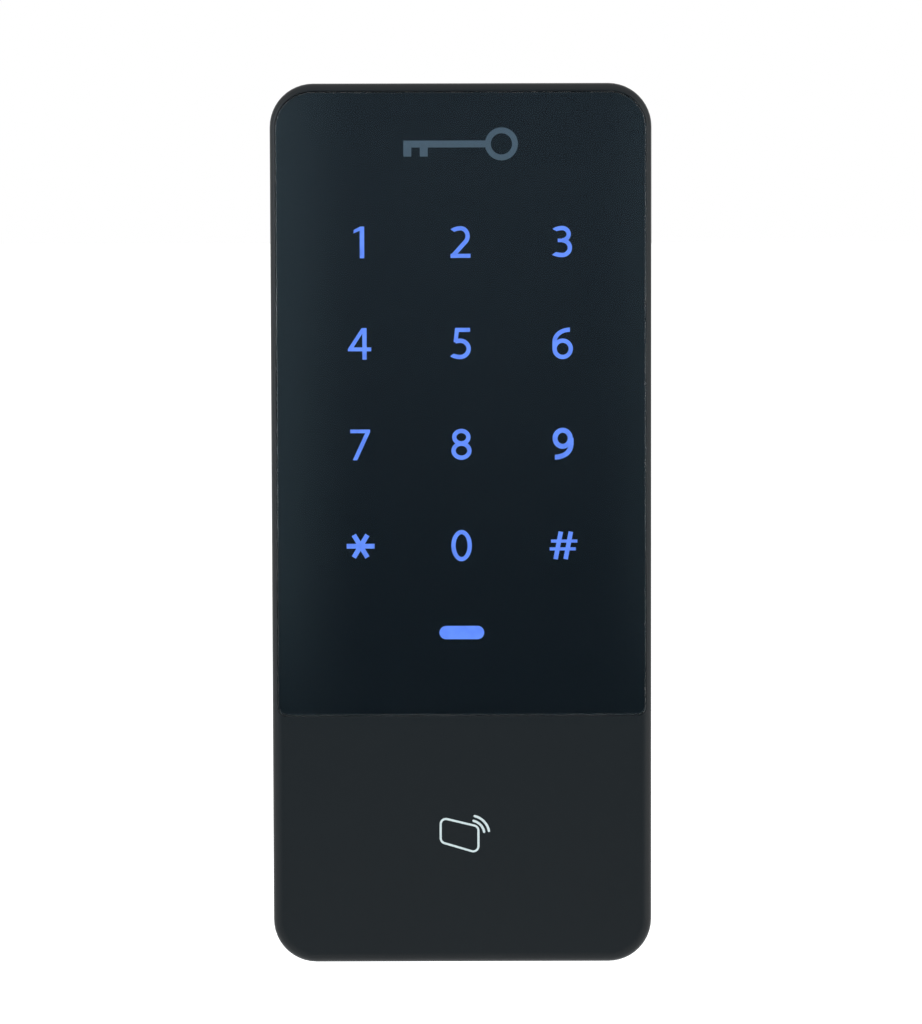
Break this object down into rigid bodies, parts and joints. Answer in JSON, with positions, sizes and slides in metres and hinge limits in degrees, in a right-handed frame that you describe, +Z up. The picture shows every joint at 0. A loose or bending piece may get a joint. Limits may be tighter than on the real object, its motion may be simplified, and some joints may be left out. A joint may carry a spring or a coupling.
{
  "type": "keypad access reader",
  "caption": "Slim upright wall reader with a lit touch keypad behind glass, a card area below and a hook-on steel wall bracket.",
  "frame": {"origin": "centre of the wall bracket's back face, on the wall plane and on the housing's centre line", "axes": "+Z up along the housing, +X to the right of a person facing the keys, +Y into the wall, so the keys face -Y"},
  "size_m": [0.072, 0.0221, 0.167],
  "materials": {
    "acetal": "natural acetal",
    "board_laminate": "green solder mask on glass-epoxy",
    "buzzer_plastic": "black plastic",
    "can_aluminium": "drawn aluminium can",
    "case_plastic": "moulded plastic, near black",
    "chip_ceramic": "sintered ceramic",
    "chip_epoxy": "black moulding epoxy",
    "copper": "bare copper",
    "cover_glass": "clear toughened glass, polished",
    "crystal_can": "nickel-plated can",
    "emblem_ink": "grey screen print",
    "flex_film": "amber flexible circuit",
    "foam_tape": "black double-sided tape",
    "housing_plastic": "fine-grained moulded plastic, anthracite",
    "inductor_ferrite": "grey ferrite",
    "insert_brass": "turned brass",
    "key_light": "lit translucent ink, blue",
    "label_paper": "blank white label",
    "led_body": "light-emitting diode in white housing",
    "light_film": "milky film",
    "mask_ink": "black screen print behind the glass",
    "part_plastic": "black component plastic",
    "screw_steel": "plated steel",
    "seal_rubber": "soft silicone",
    "spring_steel": "spring wire",
    "status_light": "lit translucent ink, blue",
    "symbol_ink": "pale grey pad print",
    "tinned_metal": "tinned",
    "vent_fabric": "expanded membrane",
    "white_plastic": "white moulded plastic",
    "zinc_steel": "zinc-plated sheet steel"
  },
  "bodies": {
    "bracket": {"wall_bracket": "zinc_steel"},
    "reader": {"adhesive_frame": "foam_tape", "antenna_board": "board_laminate", "antenna_coil": "copper", "antenna_flex": "flex_film", "antenna_socket": "part_plastic", "board_header": "part_plastic", "board_screws": "screw_steel", "bus_driver_chip": "chip_epoxy", "buzzer": "buzzer_plastic", "cable_grommet": "seal_rubber", "cable_header": "white_plastic", "card_reader_chip": "chip_epoxy", "card_symbol": "symbol_ink", "case_gasket": "seal_rubber", "case_screws": "screw_steel", "chip_legs": "tinned_metal", "chip_passives": "chip_ceramic", "clock_crystal": "crystal_can", "controller_chip": "chip_epoxy", "diffuser_film": "light_film", "ferrite_sheet": "inductor_ferrite", "filter_capacitors": "can_aluminium", "front_housing": "housing_plastic", "glass_panel": "cover_glass", "header_pins": "tinned_metal", "ink_mask": "mask_ink", "key_emblem": "emblem_ink", "key_leds": "led_body", "legend_0": "key_light", "legend_1": "key_light", "legend_2": "key_light", "legend_3": "key_light", "legend_4": "key_light", "legend_5": "key_light", "legend_6": "key_light", "legend_7": "key_light", "legend_8": "key_light", "legend_9": "key_light", "legend_hash": "key_light", "legend_star": "key_light", "light_baffle": "white_plastic", "lock_insert": "insert_brass", "main_board": "board_laminate", "power_chip": "chip_epoxy", "power_inductor": "inductor_ferrite", "rating_label": "label_paper", "rear_case": "case_plastic", "status_leds": "led_body", "status_window": "status_light", "tamper_spring": "spring_steel", "tamper_switch": "part_plastic", "touch_board": "board_laminate", "touch_chip": "chip_epoxy", "touch_electrodes": "copper", "vent_membrane": "vent_fabric"},
    "plunger": {"tamper_plunger": "acetal"},
    "switch_button": {"tamper_button": "acetal"},
    "lock_screw": {"lock_screw": "screw_steel"}
  },
  "joints": [
    {"name": "reader_lift", "type": "slide", "parent": "bracket", "child": "reader", "axis": [0, 0, 1], "range_m": [0, 0.0065]},
    {"name": "lock_screw_out", "type": "slide", "parent": "bracket", "child": "lock_screw", "axis": [0, 0, -1], "range_m": [0, 0.007]},
    {"name": "plunger_travel", "type": "slide", "parent": "reader", "child": "plunger", "axis": [0, 1, 0], "range_m": [0, 0.002], "stiffness_N_per_m": 150, "springref_m": 0.006, "deforming": ["tamper_spring"]},
    {"name": "switch_button_travel", "type": "slide", "parent": "reader", "child": "switch_button", "axis": [0, 1, 0], "range_m": [0, 0.002]}
  ],
  "couplings": [
    {"joint": "switch_button_travel", "follows": "plunger_travel", "ratio": 1}
  ]
}
